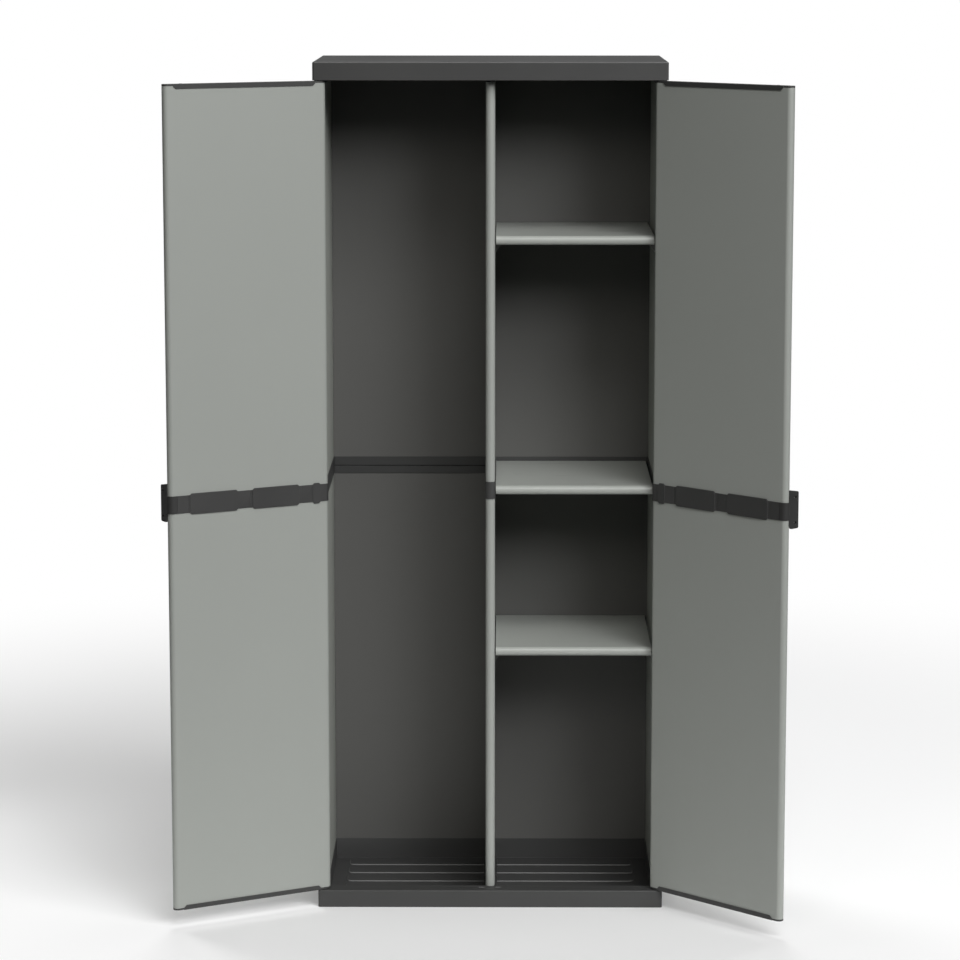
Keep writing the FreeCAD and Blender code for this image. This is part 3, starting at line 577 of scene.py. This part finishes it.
def cutGroove(bm):
    # the gap between the two clipped halves of the back joint, made deeper and in shadow, its faces
    # given a near-black painted shade
    for face in bm.faces:
        if all(within(vertex.co, groove["span"]) for vertex in face.verts):
            # these faces take the near-black painted shade
            face.material_index = 1
    floor = [vertex for vertex in bm.verts
             if within(vertex.co, groove["span"]) and vertex.co.y > groove["floorFrom"]]
    bmesh.ops.translate(bm, vec=groove["deeper"], verts=floor)


def padMiddle(y):
    # the middle of the floor pad that lies nearest to y
    middles = [padEnds["firstPad"] - padEnds["pitch"] * index for index in range(padEnds["count"])]
    return min(middles, key=lambda middle: abs(middle - y))


def squarePadEnds(bm):
    # the round ends of the base tray's floor pads drawn out towards their corners
    radius = padEnds["radius"]
    squareness = padEnds["squareness"]
    slack = padEnds["slack"]
    for vertex in bm.verts:
        beyond = abs(vertex.co.x) - padEnds["from"]
        if within(vertex.co, padEnds["span"]) and slack <= beyond <= radius + slack:
            along = min(beyond / radius, 1.0)
            side = math.sqrt(max(0.0, 1.0 - along ** 2))
            outward = (along ** squareness - along) * radius
            sideways = (side ** squareness - side) * radius
            middle = padMiddle(vertex.co.y)
            vertex.co.x += math.copysign(outward, vertex.co.x)
            vertex.co.y += math.copysign(sideways, vertex.co.y - middle)


def makeMoulding(node, looks):
    # the moulded part as the frame has it, merged into one skin so that its edges can be eased
    bm = bmesh.new()
    bm.from_mesh(nodes[node].data)
    bmesh.ops.remove_doubles(bm, verts=bm.verts, dist=mouldingMerge)
    bmesh.ops.dissolve_limit(bm, angle_limit=math.radians(flatAngle),
                             verts=bm.verts, edges=bm.edges)
    if node == "back_joint":
        cutGroove(bm)
    if node == "base_tray":
        squarePadEnds(bm)
    piece = finishPiece("moulding_" + node, bm, node,
                        looks.get("easing", plainEasing),
                        looks.get("finish", finishes["moulded_frame"]))
    if node == "back_joint":
        # second slot: the near-black painted shade of the gap
        piece.data.materials.append(mouldedFinishes["gap"])


for node, looks in mouldings.items():
    makeMoulding(node, looks)
print("mouldings made")


# Floor, light and camera

pureWhite = (1.0, 1.0, 1.0, 1.0)
floorLooks = {
    "centre": (0.0, 0.9, 0.0),
    "radius": 2.6,
    "sides": 96,
    "front": -1.05,
    "colour": (0.95, 0.95, 0.95),
    "roughness": 0.9,
    "aroundFrom": 1.0,  # where the white for the camera starts and where it is full
    "aroundTo": 2.5,
    # ahead, side and middle regions: painted light that whitens the floor's shadows near the
    # cabinet
    "aheadFrom": -0.4,
    "aheadTo": -0.86,
    "sideFrom": 0.65,
    "sideTo": 1.7,
    "sideBackFrom": 0.9,
    "sideBackTo": 0.3,
    "middle": (0.0, -0.6, 0.0),
    "middleWide": 0.6,
    "middleFrom": 0.6,
    "middleTo": 0.1,
    "middleShare": 0.22,
}


def makeFloor():
    bm = bmesh.new()
    bmesh.ops.create_circle(bm, cap_ends=True, segments=floorLooks["sides"],
                            radius=floorLooks["radius"])
    bmesh.ops.translate(bm, vec=floorLooks["centre"], verts=bm.verts)
    bmesh.ops.bisect_plane(bm, geom=bm.verts[:] + bm.edges[:] + bm.faces[:], plane_no=(0, -1, 0),
                           plane_co=(0, floorLooks["front"], 0), clear_outer=True)
    mesh = bpy.data.meshes.new("floor")
    bm.to_mesh(mesh)
    bm.free()
    floor = bpy.data.objects.new("floor", mesh)
    bpy.context.scene.collection.objects.link(floor)
    material, tree, shader = newMaterial("paleFloor")
    shader.inputs["Base Color"].default_value = shade(floorLooks["colour"], 1.0)
    shader.inputs["Roughness"].default_value = floorLooks["roughness"]
    shader.inputs["Specular IOR Level"].default_value = 0.0
    # the camera sees the floor run out into white away from the cabinet, as a studio sweep does;
    # nearer the cabinet the ahead, beside and middle regions whiten the floor's shadows, painted
    # light
    place = addNode(tree, "ShaderNodeTexCoord")
    parts = addNode(tree, "ShaderNodeSeparateXYZ", {0: place.outputs["Object"]})

    def ramp(value, start, stop, share=1.0):
        return addNode(tree, "ShaderNodeMapRange", {
            "Value": value, "From Min": floorLooks[start], "From Max": floorLooks[stop],
            "To Min": 0.0, "To Max": share}, interpolation_type="SMOOTHSTEP").outputs[0]

    def combine(first, second, operation):
        both = addNode(tree, "ShaderNodeMath", {0: first, 1: second}, operation=operation)
        return both.outputs[0]

    def reachFrom(spot, wide):
        # distance from spot, with X scaled by wide
        moved = addNode(tree, "ShaderNodeVectorMath", {0: place.outputs["Object"], 1: spot},
                        operation="SUBTRACT")
        drawn = addNode(tree, "ShaderNodeVectorMath", {0: moved.outputs[0], 1: (wide, 1.0, 1.0)},
                        operation="MULTIPLY")
        reach = addNode(tree, "ShaderNodeVectorMath", {0: drawn.outputs[0]}, operation="LENGTH")
        return reach.outputs["Value"]

    around = ramp(reachFrom(floorLooks["centre"], 1.0), "aroundFrom", "aroundTo")
    ahead = ramp(parts.outputs["Y"], "aheadFrom", "aheadTo")
    aside = addNode(tree, "ShaderNodeMath", {0: parts.outputs["X"]}, operation="ABSOLUTE")
    beside = combine(ramp(aside.outputs[0], "sideFrom", "sideTo"),
                     ramp(parts.outputs["Y"], "sideBackFrom", "sideBackTo"), "MULTIPLY")
    middle = ramp(reachFrom(floorLooks["middle"], floorLooks["middleWide"]),
                  "middleFrom", "middleTo", floorLooks["middleShare"])
    # around is the white run-out; ahead, beside and middle are painted light over the floor's
    # shadows
    clear = around
    for region in (ahead, beside, middle):
        clear = combine(clear, region, "MAXIMUM")
    path = addNode(tree, "ShaderNodeLightPath")
    seen = combine(clear, path.outputs["Is Camera Ray"], "MULTIPLY")
    white = addNode(tree, "ShaderNodeEmission", {"Color": pureWhite, "Strength": 1.0})
    blend = addNode(tree, "ShaderNodeMixShader", {
        0: seen, 1: shader.outputs[0], 2: white.outputs[0]})
    output = tree.nodes["Material Output"]
    tree.links.new(blend.outputs[0], output.inputs["Surface"])
    mesh.materials.append(material)


skyStrength = 0.005


def makeWorld():
    world = bpy.data.worlds.new("studio")
    bpy.context.scene.world = world
    world.use_nodes = True
    tree = world.node_tree
    tree.nodes.clear()
    light = addNode(tree, "ShaderNodeBackground", {"Color": pureWhite, "Strength": skyStrength})
    white = addNode(tree, "ShaderNodeBackground", {"Color": pureWhite, "Strength": 1.0})
    path = addNode(tree, "ShaderNodeLightPath")
    blend = addNode(tree, "ShaderNodeMixShader", {
        0: path.outputs["Is Camera Ray"], 1: light.outputs[0], 2: white.outputs[0]})
    output = tree.nodes.new("ShaderNodeOutputWorld")
    tree.links.new(blend.outputs[0], output.inputs["Surface"])


lampDistance = 10.0
lampSize = 3.4
lampAim = Vector((0.0, 0.0, 0.8))
plainTint = (1.0, 1.0, 1.0)
lamps = {  # azimuth from the front towards the right, in degrees, and watts
    "key": {"azimuth": 28, "elevation": 27, "power": 353.0, "tint": (0.985, 0.99, 1.0)},
    "keyHigh": {"azimuth": 10, "elevation": 48, "power": 234.0},
    "rightFront": {"azimuth": 50, "elevation": 27, "power": 224.0},
    "rightHigh": {"azimuth": 40, "elevation": 48, "power": 131.0},
    "frontFill": {"azimuth": 8, "elevation": 27, "power": 46.0},
    "leftFill": {"azimuth": -20, "elevation": 27, "power": 71.0, "tint": (1.0, 0.96, 0.9)},
    "rearLeft": {"azimuth": -140, "elevation": 30, "power": 350.0},
    "rearRight": {"azimuth": 140, "elevation": 30, "power": 142.0},
    "rearTop": {"azimuth": 180, "elevation": 60, "power": 224.0},
}


def makeLamp(name, lamp):
    azimuth = math.radians(lamp["azimuth"])
    elevation = math.radians(lamp["elevation"])
    towards = Vector((math.sin(azimuth) * math.cos(elevation),
                      -math.cos(azimuth) * math.cos(elevation), math.sin(elevation)))
    light = bpy.data.lights.new(name, "AREA")
    light.shape = "DISK"
    light.size = lampSize
    light.energy = lamp["power"]
    light.color = lamp.get("tint", plainTint)
    holder = bpy.data.objects.new(name, light)
    holder.location = lampAim + towards * lampDistance
    holder.rotation_euler = towards.to_track_quat("Z", "Y").to_euler()
    bpy.context.scene.collection.objects.link(holder)


view = {
    "place": (23.2 * mm, -6713.0 * mm, 1885.9 * mm),
    "pitch": 0.1566,  # radians below level
    "turn": 0.0066,  # radians to the left
    "focalPixels": 3403.5,
    "imagePixels": 960,
    "sensor": 36.0,  # millimetres
    "farthest": 200.0,
}


def makeCamera():
    data = bpy.data.cameras.new("camera")
    data.sensor_fit = "HORIZONTAL"
    data.sensor_width = view["sensor"]
    data.lens = view["focalPixels"] * view["sensor"] / view["imagePixels"]
    data.clip_end = view["farthest"]
    camera = bpy.data.objects.new("camera", data)
    camera.location = view["place"]
    camera.rotation_euler = (math.pi / 2 - view["pitch"], 0.0, view["turn"])
    bpy.context.scene.collection.objects.link(camera)
    bpy.context.scene.camera = camera


makeFloor()
makeWorld()
for name, lamp in lamps.items():
    makeLamp(name, lamp)
makeCamera()
bpy.context.scene.view_settings.view_transform = "Standard"
print("floor, light and camera made")
